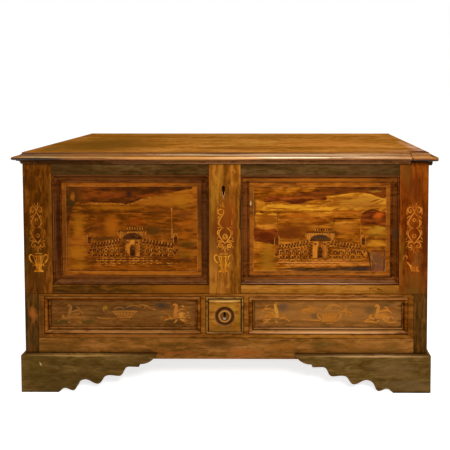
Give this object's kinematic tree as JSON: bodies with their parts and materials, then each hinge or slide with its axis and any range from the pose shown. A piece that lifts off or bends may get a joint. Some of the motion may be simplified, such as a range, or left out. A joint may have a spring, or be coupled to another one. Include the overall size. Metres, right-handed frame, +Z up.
{
  "type": "cassone",
  "caption": "Walnut chest with a hinged moulded lid, two veneered front panels, one long drawer below and sawn bracket feet.",
  "frame": {"origin": "on the floor, under the middle of the whole object's box, lid shut and drawer in", "axes": "+X to the right along the front, the front faces -Y, +Z up"},
  "size_m": [1.5, 0.5874, 0.8665],
  "materials": {
    "walnut": "waxed and worn",
    "walnut_dark": "waxed and worn",
    "walnut_moulding": "waxed and worn",
    "burr_walnut": "waxed and worn",
    "walnut_foot": "waxed and worn",
    "poplar": "planed and left bare",
    "walnut_lid": "waxed and worn",
    "walnut_lid_edge": "waxed and worn",
    "walnut_drawer": "waxed and worn",
    "wrought_iron": "hand-forged, dark, slightly rusted"
  },
  "bodies": {
    "case": {"back_boards": "poplar", "case_bottom": "poplar", "case_nails": "wrought_iron", "chest_floor": "poplar", "chest_lock_case": "wrought_iron", "chest_lock_spring": "wrought_iron", "drawer_runners": "poplar", "feet_rear": "poplar", "floor_cleats": "poplar", "foot_blocks": "wrought_iron", "foot_front_left": "walnut_foot", "foot_front_right": "walnut_foot", "foot_returns": "walnut_foot", "hinge_leaves": "wrought_iron", "hinge_pins": "wrought_iron", "panel_left": "burr_walnut", "panel_moulding_left": "walnut_moulding", "panel_moulding_right": "walnut_moulding", "panel_right": "burr_walnut", "post_left": "walnut_dark", "post_right": "walnut_dark", "rail_bottom": "walnut", "rail_mid_left": "walnut", "rail_mid_right": "walnut", "rail_top_left": "walnut_dark", "rail_top_right": "walnut_dark", "side_boards_left": "walnut", "side_boards_right": "walnut", "stile_center": "walnut", "stile_left": "walnut", "stile_right": "walnut"},
    "lid": {"lid_battens": "poplar", "lid_board_back": "walnut_lid", "lid_board_front": "walnut_lid", "lid_board_middle": "walnut_lid", "lid_corner_patch": "walnut_lid_edge", "lid_cove_front": "walnut_lid_edge", "lid_cove_left": "walnut_lid_edge", "lid_cove_right": "walnut_lid_edge", "lid_edge_front": "walnut_lid_edge", "lid_edge_left": "walnut_lid_edge", "lid_edge_right": "walnut_lid_edge", "lid_nails": "wrought_iron", "lid_staple": "wrought_iron", "hinge_straps": "wrought_iron"},
    "drawer": {"drawer_back": "poplar", "drawer_block": "wrought_iron", "drawer_block_moulding": "wrought_iron", "drawer_border": "walnut_drawer", "drawer_bottom": "poplar", "drawer_front": "walnut_drawer", "drawer_lock_case": "wrought_iron", "drawer_lock_spring": "wrought_iron", "drawer_moulding_left": "walnut_drawer", "drawer_moulding_right": "walnut_drawer", "drawer_nails": "wrought_iron", "drawer_rosette": "walnut_drawer", "drawer_sides": "poplar"},
    "chest_bolt": {"chest_lock_bolt": "wrought_iron"},
    "drawer_bolt": {"drawer_lock_bolt": "wrought_iron"}
  },
  "joints": [
    {"name": "lid_hinge", "type": "hinge", "parent": "case", "child": "lid", "pos_m": [0, 0.28775, 0.84125], "axis": [-1, 0, 0], "range_deg": [0, 100]},
    {"name": "drawer_slide", "type": "slide", "parent": "case", "child": "drawer", "axis": [0, -1, 0], "range_m": [0, 0.38]},
    {"name": "chest_bolt_slide", "type": "slide", "parent": "case", "child": "chest_bolt", "axis": [1, 0, 0], "range_m": [0, 0.013]},
    {"name": "drawer_bolt_slide", "type": "slide", "parent": "drawer", "child": "drawer_bolt", "axis": [0, 0, 1], "range_m": [0, 0.01]}
  ]
}
